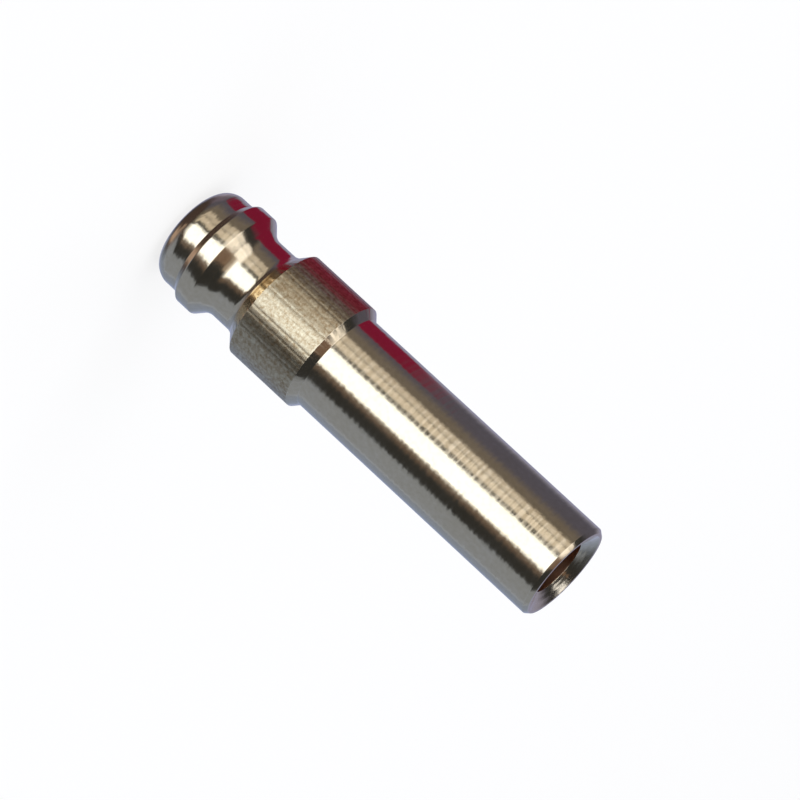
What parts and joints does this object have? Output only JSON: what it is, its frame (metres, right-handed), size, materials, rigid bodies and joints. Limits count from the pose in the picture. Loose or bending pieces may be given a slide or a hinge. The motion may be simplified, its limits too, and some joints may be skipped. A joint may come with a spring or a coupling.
{
  "type": "connector socket",
  "caption": "Turned, gold-plated rigid contact socket: plain barrel with a countersunk plug bore, straight-knurled press-in collar, narrow neck and a beaded head with a rounded nose.",
  "frame": {"origin": "centre of the flat rear face, at the nose end", "axes": "+Z along the turned axis, out of the bore's mouth; the part is round, so +X and +Y are free"},
  "size_m": [0.008, 0.008, 0.0329],
  "materials": {
    "gold_plate": "pale gold plate over finely turned brass, polished on the barrel and matter on the knurl"
  },
  "bodies": {
    "root": {"socket_body": "gold_plate"}
  },
  "joints": []
}
